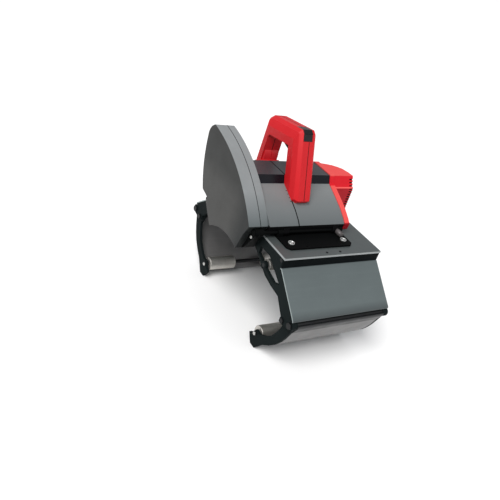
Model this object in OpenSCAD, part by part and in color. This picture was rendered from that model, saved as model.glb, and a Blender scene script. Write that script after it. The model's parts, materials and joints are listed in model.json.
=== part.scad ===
// Electric pipe cutter: a clamp carriage that rides on a pipe, and a hinged power head
// with a saw blade. The origin is on the pipe's axis at the middle of the carriage,
// X runs along the pipe, -Y is the operator's side and +Z is up.
// Outlines are written as [front, up] pairs: front is -Y, up is Z.

/* [Pipe] */
// Outside diameter of the largest pipe that the carriage rides on
pipe_d = 273; // [268:1:278]

/* [Carriage] */
// Length of the carriage along the pipe
carriage_w = 296; // [280:1:320]
// Half depth of the flat deck, from the pipe's axis to its front edge
deck_half = 160; // [155:1:168]
// Height of the deck's top above the crest of the pipe
deck_rise = 41.5; // [40:0.5:46]
// Thickness of the deck plate
deck_t = 5; // [4:0.5:6]
// Height of the black band under the deck's edge
band_h = 22.5; // [20:0.5:25]
// Forward run of a sloping cover
cover_run = 94; // [90:1:100]
// Drop of a sloping cover
cover_drop = 75.7; // [72:0.1:80]
// Thickness of the bent cover sheets
sheet_t = 3; // [2:0.5:4]
// Thickness of an end plate
plate_t = 8; // [6:0.5:10]
// Gap between the end plates and the pipe
plate_clear = 4.5; // [3.5:0.5:6]

/* [Jaws] */
// Thickness of a jaw plate
jaw_plate_t = 7; // [5:0.5:9]
// Radius of a jaw roller
jaw_roller_r = 18; // [16:0.5:20]
// Length of a jaw roller
jaw_roller_l = 80; // [60:1:85]
// Angle of the jaw rollers below the pipe's axis, in degrees
jaw_roller_angle = 21.5; // [19:0.5:24]
// Depth of the standing foot below the jaw roller's axis
foot_drop = 36.8; // [34:0.2:40]
// Radius of the jaw hinge rods
hinge_rod_r = 5; // [4:0.5:5.5]
// Radius of the clamp rods
clamp_rod_r = 4; // [3:0.5:4.5]
// How far a jaw swings open, in degrees
jaw_open = 45; // [30:1:50]
// How far a jaw swings closed on thinner pipe, in degrees
jaw_close = 8; // [4:1:10]

/* [Upper rollers] */
// Radius of an upper roller
upper_roller_r = 14; // [12:0.5:15]
// Length of an upper roller
upper_roller_l = 80; // [60:1:90]
// Angle of the upper rollers from the crest of the pipe, in degrees
upper_roller_angle = 40; // [38:1:43]
// Radius of the roller axles
axle_r = 5; // [4:0.5:6]

/* [Guard and blade] */
// Width of the blade guard along the pipe
guard_w = 54; // [50:1:60]
// Length of the guard from front corner to rear edge
guard_l = 266; // [258:1:280]
// Height of the guard's top above the underside of the head
guard_h = 150; // [148:1:160]
// Rise of the guard's long curved rim over its chord
guard_bow = 26; // [24:1:32]
// Wall of the guard shells
guard_wall = 3; // [2:0.5:4]
// Gap between the guard's lower rim and the pipe
guard_clear = 2.5; // [2:0.5:5]
// Diameter of the saw blade
blade_d = 160; // [150:1:162]
// Thickness of the saw blade
blade_t = 2; // [1.5:0.1:3]
// Number of teeth on the saw blade
blade_teeth = 48; // [36:4:60]

/* [Power head] */
// Length of the gearbox section along the pipe
gearbox_w = 84; // [80:1:95]
// Length of the motor section
motor_w = 142; // [138:1:155]
// Length of the red bezel
bezel_w = 15; // [12:1:20]
// Length of the rear cap at its top
cap_w = 67; // [55:1:75]
// Wall of the head's housings
head_wall = 3; // [2.5:0.5:4]
// Distance of the housing's front corner in front of the pipe's axis
head_front = 77; // [74:1:80]
// Depth of the housing from its front corner to its rear
head_depth = 253; // [245:1:260]
// Height of the housing above the underside of the head
head_h = 94; // [92:1:104]
// Height of the black bottom tray
tray_h = 18; // [16:1:20]
// Gap between the base plate and the head's underside
head_gap = 7.5; // [7:0.5:10]
// How far the head tips up, in degrees
head_lift = 20; // [10:1:25]

/* [Base plate] */
// Thickness of the base plate
base_t = 4.5; // [4:0.5:6]
// Depth of the base plate from front to rear
base_depth = 101; // [95:1:108]
// Radius of the head's hinge pin
head_pin_r = 5; // [4:0.5:5.5]

/* [Handle] */
// Width of the handle
handle_w = 50; // [44:1:54]
// Width of the left handle half
handle_left_w = 26; // [20:0.5:30]
// Height of the handle above the housing's top
handle_h = 118; // [112:1:130]
// Chamfer along the handle's outer edges
handle_chamfer = 8; // [4:0.5:8.5]
// Wall of the handle around its outline
handle_wall = 9; // [8.5:0.5:10]
// Travel of the trigger
trigger_travel = 4; // [2:0.5:4.5]
// Travel of the lock button
button_travel = 2.5; // [1.5:0.5:2.5]

/* [Drive] */
// Gear module
gear_module = 1; // [0.9:0.05:1]
// Teeth on the spindle gear
gear_teeth = 60; // [56:1:60]
// Teeth on the motor pinion
pinion_teeth = 12; // [10:1:12]
// Radius of the spindle
spindle_r = 7.5; // [6:0.5:8]
// Radius of the motor shaft
shaft_r = 4; // [3:0.5:4.2]
// Outer radius of the stator
stator_r = 36; // [34:0.5:37]
// Outer radius of the armature
armature_r = 20; // [17:0.5:21]

/* [Hidden] */

// Sides of round pieces, of arcs in outlines, and of hexagons
round_sides = 64;
arc_steps = 14;
hex_sides = 6;
// Length by which a cut runs past a face
overrun = 1;
// Radial play of everything that turns, and the gap between faces that slide
run_play = 0.05;
side_gap = 0.3;
// Sides of the pipe: operator's side and far side
FRONT = 1;
REAR = -1;

pipe_r = pipe_d / 2;
half_w = carriage_w / 2;
deck_top = pipe_r + deck_rise;
deck_bot = deck_top - deck_t;

// Outward and inward unit normals, insets and arcs of outlines
function unit(v) = v / norm(v);
function left_of(v) = [-v[1], v[0]];
function polar(r, a) = r * [cos(a), sin(a)];
function reversed(pts) = [for (i = [len(pts) - 1 : -1 : 0]) pts[i]];
function arc_pts(centre, r, a0, a1, n = arc_steps) =
    [for (i = [0 : n]) centre + polar(r, a0 + (a1 - a0) * i / n)];
// Arc from p to q that bulges to the right of the way by bow
function bow_pts(p, q, bow, n = arc_steps) =
    let (c = norm(q - p), r = c * c / (8 * bow) + bow / 2, way = (q - p) / c,
         out = [way[1], -way[0]], o = (p + q) / 2 - out * (r - bow), a = asin(c / (2 * r)))
    [for (i = [0 : n]) let (t = a * (2 * i / n - 1)) o + out * r * cos(t) + way * r * sin(t)];
// Outline whose sides all move to the left of their way by d
function inset(pts, d) =
    [for (i = [0 : len(pts) - 1])
        let (n = len(pts), a = left_of(unit(pts[i] - pts[(i + n - 1) % n])),
             b = left_of(unit(pts[(i + 1) % n] - pts[i])))
        pts[i] + d * (a + b) / (1 + a * b)];
// Open line moved to the left of its way by d
function side_step(pts, d) =
    [for (i = [0 : len(pts) - 1])
        let (last = len(pts) - 1,
             a = left_of(unit(pts[max(i, 1)] - pts[max(i, 1) - 1])),
             b = left_of(unit(pts[min(i + 1, last)] - pts[min(i, last - 1)])))
        pts[i] + d * (a + b) / (1 + a * b)];
function strip(pts, d) = concat(pts, reversed(side_step(pts, d)));

// Solid of an outline of [front, up] points, from x over a length
module prism(pts, x, length, side = FRONT) {
    translate([x, 0, 0])
        rotate([90, 0, 90])
            linear_extrude(length)
                polygon([for (p = pts) [-side * p[0], p[1]]]);
}

// Round bar along the pipe at a [front, up] point
module bar(p, r, x, length, side = FRONT, sides = round_sides) {
    translate([x, -side * p[0], p[1]])
        rotate([0, 90, 0])
            cylinder(r = r, h = length, $fn = sides);
}

// Ring along the pipe at a [front, up] point
module ring(p, r_out, r_in, x, length, side = FRONT) {
    difference() {
        bar(p, r_out, x, length, side);
        bar(p, r_in, x - overrun, length + 2 * overrun, side);
    }
}

// Carriage outline: corners of the deck, the band and the sloping cover
cover_top = [deck_half, deck_bot - band_h];
cover_low = cover_top + [cover_run, -cover_drop];
cover_way = unit(cover_low - cover_top);
cover_out = left_of(cover_way);
band_set = 2;
band_t = 3;
roll_r = 7;
roll_in = 4;
roll_at = cover_low - roll_in * cover_way - roll_r * cover_out;
roll_start = atan2(cover_out[1], cover_out[0]);
roll_end = -5;
// The cover's upper edge turns in under the band
flange_in = deck_half - band_set - band_t;
flange_low = cover_top[1] - sheet_t;
cover_in_top = cover_top - cover_out * sheet_t;
flange_root = cover_in_top - cover_way * (cover_in_top[1] - flange_low) / cover_way[1];
hinge_back = 6;
hinge_drop = 16;
hinge = cover_low - [hinge_back, hinge_drop];
hinge_boss_r = 11.5;
clamp_arm = 29.2;
clamp_angle = 196.5;
clamp = hinge + polar(clamp_arm, clamp_angle);
clamp_boss_r = 10;
rod_head_t = 4;
hinge_head_r = 8;
clamp_head_r = 7;
rod_reach = half_w + rod_head_t;

// Tie rods lie in the corners under the deck's edges
tie_r = 6;
tie = [deck_half - band_set - band_t - tie_r - 2 * side_gap, deck_bot - tie_r - 2 * side_gap];
tie_screw_r = 3;
tie_head_r = 5;
screw_head_t = 3;
deck_screw_r = 2;
deck_screw_head_r = 3;
deck_screw_head_t = 1;
deck_screw_x = [-19, 22];
deck_screws = [for (x = deck_screw_x) [x, tie[0]]];
upper = polar(pipe_r + upper_roller_r, 90 - upper_roller_angle);
axle_end = 2;

// Window in the deck under the gear case, worked out from the drive
blade_share = 0.49407;
blade_back = blade_share * head_depth - head_front;
blade_rise = 9.3;
blade_axis = [-blade_back, deck_top + base_t + head_gap + blade_rise];
case_r = 34.5;
case_gap = 2;
case_end_gap = 5;
belly_gap = 7.5;
guard_gap = 1;
guard_x = -half_w - guard_gap - guard_w;
gear_x = guard_x + guard_w;
motor_x = gear_x + gearbox_w;
bezel_x = motor_x + motor_w;
cap_x = bezel_x + bezel_w;
case_x = -half_w + plate_t + case_gap;
case_end_x = motor_x - case_end_gap;

module deck_plate() {
    color("#5c6464") difference() {
        translate([-half_w, -deck_half, deck_bot])
            cube([carriage_w, 2 * deck_half, deck_t]);
        translate([-half_w - overrun, -blade_axis[0] - case_r - belly_gap, deck_bot - overrun])
            cube([case_end_x + belly_gap + half_w + overrun, 2 * (case_r + belly_gap),
                  deck_t + 2 * overrun]);
        for (s = deck_screws)
            translate([s[0], -s[1], deck_bot - overrun])
                cylinder(r = deck_screw_r, h = deck_t + 2 * overrun, $fn = round_sides);
        for (s = base_screw_places)
            translate([s[0], -s[1], deck_bot - overrun])
                cylinder(r = base_screw_r, h = deck_t + 2 * overrun, $fn = round_sides);
    }
}

// End plate: half outline from the middle over the pipe to the hinge and back under the cover
plate_arc_r = pipe_r + plate_clear;
plate_arc_end = 60;
plate_arm_shares = [[0.455, 0.345], [0.585, 0.285], [0.72, 0.255]];
window_shares = [[0.27, 0.79], [0.43, 0.79], [0.69, 0.47], [0.6, 0.4], [0.4, 0.5], [0.27, 0.62]];
axle_boss_r = 10;
function plate_point(s) = [s[0] * hinge[0], hinge[1] + s[1] * (deck_bot - hinge[1])];
function plate_half() = concat(
    arc_pts([0, 0], plate_arc_r, 90, plate_arc_end),
    [for (s = plate_arm_shares) plate_point(s)],
    [clamp + polar(clamp_boss_r, 150), clamp + polar(clamp_boss_r, 270),
     hinge + polar(hinge_boss_r, 270), hinge + polar(hinge_boss_r - sheet_t, 100),
     roll_at + polar(roll_r - sheet_t, roll_start),
     flange_root, [flange_in, flange_low], [flange_in, deck_bot], [0, deck_bot]]);

// The heads of the tie screws are sunk in the outer face, from sink_x on
module end_plate(x, sink_x) {
    x0 = x - overrun;
    cut = plate_t + 2 * overrun;
    color("#262c2c") difference() {
        for (side = [FRONT, REAR]) {
            prism(plate_half(), x, plate_t, side);
            bar(hinge, hinge_boss_r, x, plate_t, side);
            bar(clamp, clamp_boss_r, x, plate_t, side);
            bar(upper, axle_boss_r, x, plate_t, side);
        }
        for (side = [FRONT, REAR]) {
            difference() {
                prism([for (s = window_shares) plate_point(s)], x0, cut, side);
                bar(upper, axle_boss_r, x0, cut, side);
            }
            bar(hinge, hinge_rod_r, x0, cut, side);
            bar(clamp, clamp_rod_r, x0, cut, side);
            bar(tie, tie_screw_r, x0, cut, side);
            bar(tie, tie_head_r, sink_x, screw_head_t + overrun, side);
            bar(upper, axle_r, x0, cut, side);
        }
    }
}
module end_plate_left() { end_plate(-half_w, -half_w - overrun); }
module end_plate_right() { end_plate(half_w - plate_t, half_w - screw_head_t); }

// Sloping cover: a bent sheet with a flange above, whose lower edge rolls down to the hinge
module cover(side) {
    outer = concat([cover_top], arc_pts(roll_at, roll_r, roll_start, roll_end, arc_steps / 2));
    inner = concat(arc_pts(roll_at, roll_r - sheet_t, roll_end, roll_start, arc_steps / 2),
                   [flange_root, [flange_in, flange_low], [flange_in, cover_top[1]]]);
    color("#6d7878") prism(concat(outer, inner), -half_w, carriage_w, side);
}
module front_cover() { cover(FRONT); }
module rear_cover() { cover(REAR); }

module band(side) {
    color("#15181a")
        translate([0, -side * (deck_half - band_set - band_t / 2), cover_top[1] + band_h / 2])
            cube([carriage_w, band_t, band_h], center = true);
}
module front_band() { band(FRONT); }
module rear_band() { band(REAR); }

module tie_rods() {
    color("silver") for (side = [FRONT, REAR]) {
        difference() {
            union() {
                bar(tie, tie_r, -half_w + plate_t, carriage_w - 2 * plate_t, side);
                bar(tie, tie_screw_r, screw_head_t - half_w, carriage_w - 2 * screw_head_t, side);
            }
            if (side == FRONT)
                for (s = deck_screws)
                    translate([s[0], -s[1], tie[1]])
                        cylinder(r = deck_screw_r, h = deck_bot - tie[1], $fn = round_sides);
        }
    }
}

// Jaw hinge rods and clamp rods run right through the carriage and hold it together.
// A sleeve on each hinge rod keeps the jaw's plates apart.
hinge_sleeve_r = 9;
module hinge_rods() {
    color("silver") for (side = [FRONT, REAR]) {
        bar(hinge, hinge_rod_r, -half_w, carriage_w, side);
        bar(hinge, hinge_sleeve_r, side_gap - jaw_inner, 2 * (jaw_inner - side_gap), side);
        bar(hinge, hinge_head_r, -rod_reach, rod_head_t, side);
        bar(hinge, hinge_head_r, half_w, rod_head_t, side);
    }
}

knob_gap = 0.4;
knob_w = 18;
knob_reach = 14;
module clamp_rods() {
    color("silver") {
        for (side = [FRONT, REAR])
            bar(clamp, clamp_rod_r, -half_w, carriage_w, side);
        for (side = [FRONT, REAR])
            bar(clamp, clamp_head_r, -rod_reach, rod_head_t, side, hex_sides);
        bar(clamp, clamp_head_r, half_w, rod_head_t, FRONT, hex_sides);
        bar(clamp, clamp_rod_r, half_w - overrun, knob_reach + overrun, REAR);
    }
}

// Star knob on the rear clamp rod
knob_r = 13;
knob_lobes = 5;
knob_lobe_r = 5;
module clamp_knob() {
    x = half_w + knob_gap;
    color("#15181a") difference() {
        union() {
            bar(clamp, knob_r, x, knob_w, REAR);
            for (i = [0 : knob_lobes - 1])
                bar(clamp + polar(knob_r, 360 * i / knob_lobes), knob_lobe_r, x, knob_w, REAR);
        }
        bar(clamp, clamp_rod_r + run_play, x - overrun, knob_reach - knob_gap + side_gap + overrun, REAR);
    }
}

module frame_screws() {
    color("silver") {
        for (side = [FRONT, REAR])
            for (x = [-half_w, half_w - screw_head_t])
                bar(tie, tie_head_r, x, screw_head_t, side);
        for (s = deck_screws)
            translate([s[0], -s[1], 0]) {
                translate([0, 0, tie[1]])
                    cylinder(r = deck_screw_r, h = deck_top - tie[1], $fn = round_sides);
                translate([0, 0, deck_top])
                    cylinder(r = deck_screw_head_r, h = deck_screw_head_t, $fn = round_sides);
            }
    }
}

// Base plate of the power head, bolted on the deck, with an ear at each end of the hinge pin
base_front = 131;
base_in = 27;
base_x = gear_x + base_in;
base_corner = 9;
head_bottom = deck_top + base_t + head_gap;
hinge_in = 3;
hinge_rise = 9;
head_hinge = [head_front - hinge_in, deck_top + base_t + hinge_rise];
ear_r = 8.5;
ear_w = 14;
ear_in = 5;
ear_x = [base_x, bezel_x - ear_in - ear_w];
base_screw_r = 4.5;
base_screw_head_r = 8;
base_screw_head_t = 2.6;
base_screw_in = 20;
base_screw_rear = 9;
base_screw_places = [
    [base_x + base_screw_in, base_front - base_screw_in],
    [bezel_x - base_screw_in, base_front - base_screw_in],
    [base_x + base_screw_in, base_front - base_depth + base_screw_rear],
    [bezel_x - base_screw_in, base_front - base_depth + base_screw_rear]
];
index_hole_x = 58;
index_hole_in = 7;
index_hole_r = 2;

module base_plate() {
    width = bezel_x - base_x;
    color("#15181a") difference() {
        union() {
            translate([base_x, -base_front, deck_top])
                linear_extrude(base_t)
                    polygon([[base_corner, 0], [width - base_corner, 0], [width, base_corner],
                             [width, base_depth], [0, base_depth], [0, base_corner]]);
            for (x = ear_x) {
                bar(head_hinge, ear_r, x, ear_w);
                translate([x, -head_hinge[0] - ear_r, deck_top])
                    cube([ear_w, 2 * ear_r, head_hinge[1] - deck_top]);
            }
        }
        for (x = ear_x)
            bar(head_hinge, head_pin_r, x - overrun, ear_w + 2 * overrun);
        for (s = base_screw_places)
            translate([s[0], -s[1], deck_top - overrun])
                cylinder(r = base_screw_r, h = base_t + 2 * overrun, $fn = round_sides);
        translate([base_x + index_hole_x, index_hole_in - base_front, deck_top - overrun])
            cylinder(r = index_hole_r, h = base_t + 2 * overrun, $fn = round_sides);
    }
}

module base_screws() {
    color("silver") for (s = base_screw_places)
        translate([s[0], -s[1], deck_bot])
            difference() {
                union() {
                    cylinder(r = base_screw_r, h = deck_t + base_t, $fn = round_sides);
                    translate([0, 0, deck_t + base_t])
                        cylinder(r = base_screw_head_r, h = base_screw_head_t, $fn = round_sides);
                }
                translate([0, 0, deck_t + base_t + base_screw_head_t / 2])
                    cylinder(r = base_screw_r, h = base_screw_head_t, $fn = hex_sides);
            }
}

pin_in = 17;
pin_x = guard_x + pin_in;
pin_head_t = 3;
pin_head_r = 7;
module head_hinge_pin() {
    color("silver") {
        bar(head_hinge, head_pin_r, pin_x, bezel_x - pin_x);
        bar(head_hinge, pin_head_r, pin_x - pin_head_t, pin_head_t);
    }
}

// Rollers: two on each fixed axle
roller_in = 2.4;
module roller_pair(p, r, length, x_end, side) {
    for (x = [-x_end + roller_in, x_end - roller_in - length])
        ring(p, r, axle_r + run_play, x, length, side);
}
module upper_axles() {
    color("silver") for (side = [FRONT, REAR])
        bar(upper, axle_r, -half_w, carriage_w, side);
}
inner_half = half_w - plate_t;
module upper_front_rollers() {
    color("#8b8480") roller_pair(upper, upper_roller_r, upper_roller_l, inner_half, FRONT);
}
module upper_rear_rollers() {
    color("#8b8480") roller_pair(upper, upper_roller_r, upper_roller_l, inner_half, REAR);
}

// Jaw: an arm from the hinge to the roller, which rests on the pipe
jaw_half = inner_half - side_gap;
jaw_inner = jaw_half - jaw_plate_t;
jaw_roller = polar(pipe_r + jaw_roller_r, -jaw_roller_angle);
jaw_l = norm(jaw_roller - hinge);
jaw_way = (jaw_roller - hinge) / jaw_l;
foot_z = jaw_roller[1] - foot_drop;
foot_out = 12;
foot_in = 5.5;
foot_front = [jaw_roller[0] + foot_out, foot_z];
foot_rear = [jaw_roller[0] - foot_in, foot_z];
function jaw_point(s) = hinge + jaw_l * (s[0] * jaw_way + s[1] * left_of(jaw_way));
jaw_outer_shares = [[0.12, 0.11], [0.279, 0.171], [0.4, 0.205], [0.534, 0.226], [0.7, 0.222], [0.89, 0.195]];
jaw_inner_shares = [[1.16, -0.05], [1.06, -0.02], [0.96, -0.055], [0.9, 0.03], [0.75, 0.075], [0.58, 0.085],
                    [0.43, 0.05], [0.3, 0.0]];
knuckle_r = 11;
slot_rim = 6.5;
ear_out = clamp_arm + clamp_rod_r + slot_rim;
slot_play = 0.4;
slot_a0 = clamp_angle - jaw_open;
slot_a1 = clamp_angle + jaw_close;
ear_margin = 17;
function jaw_outline() = concat(
    [for (s = jaw_outer_shares) jaw_point(s)], [foot_front, foot_rear],
    [for (s = jaw_inner_shares) jaw_point(s)],
    arc_pts(hinge, ear_out, slot_a1 + ear_margin, slot_a0 - ear_margin),
    [hinge + polar(knuckle_r, 100), hinge + polar(knuckle_r, 20)]);
slot_in = clamp_arm - clamp_rod_r - slot_play;
slot_out = clamp_arm + clamp_rod_r + slot_play;

module jaw_plate(x, side) {
    x0 = x - overrun;
    cut = jaw_plate_t + 2 * overrun;
    color("#262c2c") difference() {
        union() {
            prism(jaw_outline(), x, jaw_plate_t, side);
            bar(hinge, knuckle_r, x, jaw_plate_t, side);
        }
        bar(hinge, hinge_rod_r + run_play, x0, cut, side);
        bar(jaw_roller, axle_r, x0, cut, side);
        prism(concat(arc_pts(hinge, slot_out, slot_a0, slot_a1), arc_pts(hinge, slot_in, slot_a1, slot_a0)),
              x0, cut, side);
        for (a = [slot_a0, slot_a1])
            bar(hinge + polar(clamp_arm, a), clamp_rod_r + slot_play, x0, cut, side);
    }
}
// The shell starts as a round knuckle about the hinge, so that it stays clear of the cover
shell_knuckle_r = 12.5;
shell_knuckle_top = 20;
shell_knuckle_low = -45;
module jaw_shell(side) {
    outer = concat(arc_pts(hinge, shell_knuckle_r, shell_knuckle_top, shell_knuckle_low, arc_steps / 2),
                   [for (s = jaw_outer_shares) jaw_point(s)], [foot_front]);
    color("#9a9694") prism(strip(outer, -sheet_t), -jaw_inner, 2 * jaw_inner, side);
}
axle_head_r = 6.5;
module jaw_axle(side) {
    color("silver") {
        bar(jaw_roller, axle_r, -jaw_half, 2 * jaw_half, side);
        for (x = [-jaw_half - axle_end, jaw_half])
            bar(jaw_roller, axle_head_r, x, axle_end, side);
    }
}
module jaw_rollers(side) {
    color("#8b8480") roller_pair(jaw_roller, jaw_roller_r, jaw_roller_l, jaw_inner, side);
}
module front_jaw_left_plate() { jaw_plate(-jaw_half, FRONT); }
module front_jaw_right_plate() { jaw_plate(jaw_inner, FRONT); }
module front_jaw_shell() { jaw_shell(FRONT); }
module front_jaw_axle() { jaw_axle(FRONT); }
module front_jaw_rollers() { jaw_rollers(FRONT); }
module rear_jaw_left_plate() { jaw_plate(-jaw_half, REAR); }
module rear_jaw_right_plate() { jaw_plate(jaw_inner, REAR); }
module rear_jaw_shell() { jaw_shell(REAR); }
module rear_jaw_axle() { jaw_axle(REAR); }
module rear_jaw_rollers() { jaw_rollers(REAR); }

// Blade guard: two shells that meet at a seam and are open below towards the pipe
guard_seam_share = 0.61;
guard_seam = guard_x + guard_w * guard_seam_share;
guard_in = 6;
guard_front = head_front - guard_in;
function guard_point(s) = [guard_front - s[0] * guard_l, head_bottom + s[1] * guard_h];
guard_shares = [[0, 0.1], [0.926, 1], [1, 0.743], [0.856, -0.105]];
guard_tip = guard_point(guard_shares[0]);
guard_crest = guard_point(guard_shares[1]);
guard_rear = guard_point(guard_shares[2]);
guard_heel = guard_point(guard_shares[3]);
guard_foot_r = pipe_r + guard_clear;
notch_shares = [[0.74, -0.153], [0.748, -0.23]];
guard_toe_share = [0.046, -0.067];
crest_bow = 8;
rear_bow = 8;
guard_arc_rear = 127;
guard_arc_front = 71;
function guard_outline() = concat(
    bow_pts(guard_tip, guard_crest, guard_bow, 24),
    [for (i = [1 : 5]) bow_pts(guard_crest, guard_rear, crest_bow, 6)[i]],
    bow_pts(guard_rear, guard_heel, rear_bow, 10),
    [for (s = notch_shares) guard_point(s)],
    arc_pts([0, 0], guard_foot_r, guard_arc_rear, guard_arc_front),
    [guard_point(guard_toe_share)]);
mouth_in = 3;
function guard_mouth() =
    let (a0 = guard_arc_rear - mouth_in, a1 = guard_arc_front + mouth_in)
    concat(arc_pts([0, 0], guard_foot_r + guard_wall + 2 * overrun, a0, a1),
           arc_pts([0, 0], guard_foot_r - 2 * overrun, a1, a0));
neck_r = 20;

module guard_outer_shell() {
    color("#4a4c4c") difference() {
        prism(guard_outline(), guard_x, guard_seam - guard_x);
        prism(inset(guard_outline(), guard_wall), guard_x + guard_wall, guard_seam - guard_x);
        prism(guard_mouth(), guard_x + guard_wall, guard_seam - guard_x);
    }
}
module guard_inner_shell() {
    color("#8a9090") difference() {
        prism(guard_outline(), guard_seam, gear_x - guard_seam);
        prism(inset(guard_outline(), guard_wall), guard_seam - guard_wall, gear_x - guard_seam);
        prism(guard_mouth(), guard_seam - guard_wall, gear_x - guard_seam);
        bar(blade_axis, neck_r + side_gap, guard_seam, gear_x - guard_seam + overrun);
    }
}

// Black latch on the notch of the outer shell
latch_l = 10;
latch_w = 12;
latch_shares = [[0.33, -0.05], [1, 0.5], [1, 1]];
module cover_latch() {
    at = guard_point(notch_shares[0]);
    color("#15181a") prism(
        concat([at], [for (s = latch_shares) at - latch_l * s], [guard_point(notch_shares[1])]),
        guard_x + guard_wall, latch_w);
}

// Black bracket that carries the guard on the hinge pin
bracket_w = 22;
bracket_r = 9;
module guard_bracket() {
    x = pin_x + side_gap;
    low = polar(guard_foot_r, guard_arc_front);
    color("#15181a") difference() {
        union() {
            bar(head_hinge, bracket_r, x, bracket_w);
            prism([low, low + [bracket_r, bracket_r], head_hinge + [bracket_r, 0], head_hinge,
                   guard_point(guard_toe_share)], x, bracket_w);
        }
        prism(guard_outline(), x - overrun, bracket_w + 2 * overrun);
        bar(head_hinge, head_pin_r + run_play, x - overrun, bracket_w + 2 * overrun);
    }
}

// Cross-section of the head, counterclockwise from its front corner
head_corner = [head_front, head_bottom + tray_h];
function head_point(s) =
    [head_front - s[0] * head_depth, head_corner[1] + s[1] * (head_h - tray_h)];
head_shares = [[0.4, 0.743], [0.435, 1], [0.719, 1], [1, 0.5], [1, 0]];
slope_shares = [[0.04, 0.12], [0.126, 0.31], [0.245, 0.507]];
slope = [for (s = slope_shares) head_point(s)];
slope_end = head_point(head_shares[0]);
roof_front = head_point(head_shares[1]);
roof_rear = head_point(head_shares[2]);
back_top = head_point(head_shares[3]);
back_low = head_point(head_shares[4]);
housing_outline = concat([head_corner], slope, [slope_end, roof_front, roof_rear, back_top, back_low]);
tray_lip = 5;
tray_in = 1;
tray_outline = [back_low, [back_low[0], head_bottom + 2 * tray_lip], [back_low[0] + tray_lip, head_bottom],
                [head_front - tray_lip - tray_in, head_bottom],
                [head_front - tray_in, head_bottom + tray_lip],
                head_corner];
full_outline = concat(housing_outline, [for (i = [1 : 4]) tray_outline[i]]);
// Motor axis above the spindle, at the gears' centre distance
motor_angle = 103;
gear_r = gear_teeth * gear_module / 2;
pinion_r = pinion_teeth * gear_module / 2;
motor_axis = blade_axis + polar(gear_r + pinion_r, motor_angle);
stripe_t = 2;
stripe_sink = left_of(unit(roof_front - slope_end)) * stripe_t;
stripe_outline = [slope_end, roof_front, roof_front + stripe_sink, slope_end + stripe_sink];
recessed_outline = concat([head_corner], slope,
    [slope_end, slope_end + stripe_sink, roof_front + stripe_sink, roof_front, roof_rear,
     back_top, back_low]);

// Housing section: a shell that is open below, where the tray closes it
module housing(x, length, left_wall) {
    difference() {
        prism(recessed_outline, x, length);
        prism(inset(full_outline, head_wall), x + left_wall, length + 2 * overrun);
    }
}

module gearbox_housing() {
    color("#7a8080") difference() {
        housing(gear_x, gearbox_w, head_wall);
        bar(blade_axis, neck_r, gear_x - overrun, head_wall + 2 * overrun);
    }
}
seat_w = 6;
seat_shares = [0.28, 0.62, 0.79];
seat_ribs = [for (s = seat_shares) motor_x + s * motor_w];
module motor_housing() {
    color("#7a8080") difference() {
        union() {
            housing(motor_x, motor_w, -overrun);
            for (x = seat_ribs)
                difference() {
                    prism(inset(recessed_outline, head_wall / 2), x, seat_w);
                    bar(motor_axis, stator_r, x - overrun, seat_w + 2 * overrun);
                }
        }
        translate(gland_place())
            rotate([-90, 0, 0])
                cylinder(r = gland_neck_r, h = gland_l, $fn = round_sides);
    }
}
module stripe_insert() {
    color("#1a1c20") prism(stripe_outline, gear_x, gearbox_w + motor_w);
}

lug_r = 8;
lug_w = 16;
lug_x = [ear_x[0] + ear_w + side_gap, ear_x[1] - lug_w - side_gap];
module bottom_tray() {
    length = gearbox_w + motor_w;
    color("#15181a") difference() {
        union() {
            difference() {
                prism(tray_outline, gear_x, length);
                prism(inset(full_outline, head_wall), gear_x + head_wall, length);
            }
            for (x = lug_x) {
                bar(head_hinge, lug_r, x, lug_w);
                prism([head_hinge - [lug_r, 0], head_hinge + [lug_r, 0],
                       [head_front - tray_in, head_corner[1]], [head_hinge[0] - lug_r, head_corner[1]]],
                      x, lug_w);
            }
        }
        for (x = lug_x)
            bar(head_hinge, head_pin_r + run_play, x - overrun, lug_w + 2 * overrun);
        for (x = ear_x)
            bar(head_hinge, ear_r + overrun, x - side_gap, ear_w + 2 * side_gap);
        bar(blade_axis, case_r, case_x - side_gap, case_end_x - case_x + 2 * side_gap);
        bar(blade_axis, neck_r, gear_x - overrun, case_x - gear_x + 2 * overrun);
        bar(head_hinge, head_pin_r + run_play, gear_x - overrun, length + 2 * overrun);
    }
}

// Screws that hold the handle halves together
head_screw_r = 4;
head_screw_t = 2;
module head_screws() {
    color("silver") for (p = handle_screw_places())
        bar(p, head_screw_r, handle_x + handle_w - head_screw_t, head_screw_t);
}

// Handle: a closed loop that stands on the housing's slopes, split along its length
handle_in = 1.5;
handle_x = motor_x - handle_in;
handle_seam = handle_x + handle_left_w;
handle_side_wall = 4;
handle_floor = 3;
handle_top = roof_front[1] + handle_h;
function grip_point(s) =
    [head_front - s[0] * head_depth, roof_front[1] + s[1] * handle_h];
grip_outer_shares = [[0.232, -0.45], [0.162, -0.29], [0.403, 0.949], [0.435, 1], [0.897, 0.864],
                     [0.957, 0.746], [0.968, -0.4], [0.85, -0.45]];
grip_hole_shares = [[0.43, 0.02], [0.458, 0.165], [0.514, 0.483], [0.526, 0.568], [0.85, 0.466],
                    [0.87, 0.415], [0.87, -0.6], [0.5, -0.6]];
grip_outer = [for (s = grip_outer_shares) grip_point(s)];
grip_hole = [for (s = grip_hole_shares) grip_point(s)];
bar_start = grip_hole[3];
bar_way = unit(grip_hole[4] - grip_hole[3]);
bar_up = [bar_way[1], -bar_way[0]];
function on_bar(s, n) = bar_start + s * bar_way + n * bar_up;
trigger_l = 38;
trigger_w = 26;
trigger_x = handle_x + (handle_w - trigger_w) / 2;
trigger_in = 6;
trigger_out = 20;
trigger_tail = 3;
leg_way = unit(grip_outer[1] - grip_outer[2]);
leg_out = left_of(leg_way);
button_l = 17;
button_w = 26;
button_side = 9;
button_in = 10.5;
button_out = 0.6;
button_x = handle_x + button_side;
button_start = 1;
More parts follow.
